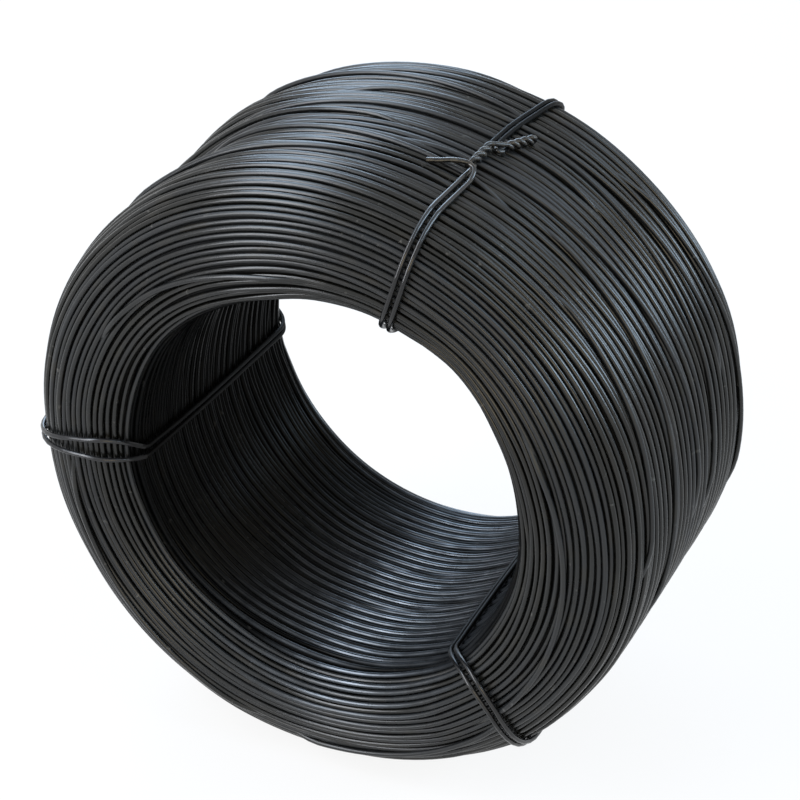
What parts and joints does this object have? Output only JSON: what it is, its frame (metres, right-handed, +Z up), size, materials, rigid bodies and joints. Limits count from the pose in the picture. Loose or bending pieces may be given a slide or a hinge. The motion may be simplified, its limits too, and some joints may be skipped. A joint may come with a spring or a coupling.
{
  "type": "wire coil",
  "caption": "Ring-shaped coil of black annealed steel wire lying on its rim, wound in close layers and held by doubled wire ties with twisted ends.",
  "frame": {"origin": "middle of the line along which the rim rests on the floor, under the coil's axis", "axes": "+Z up, Y along the coil's axis with the front end at -Y, +X to the right seen from the front"},
  "size_m": [0.3255, 0.1812, 0.3201],
  "materials": {
    "coil_wire": "drawn steel wire with a black annealing oxide, satin",
    "tie_wire": "annealed tie wire, a little lighter and rusty at its twists"
  },
  "bodies": {
    "root": {"wire_coil": "coil_wire", "top_tie": "tie_wire", "left_tie": "tie_wire", "low_tie": "tie_wire"}
  },
  "joints": []
}
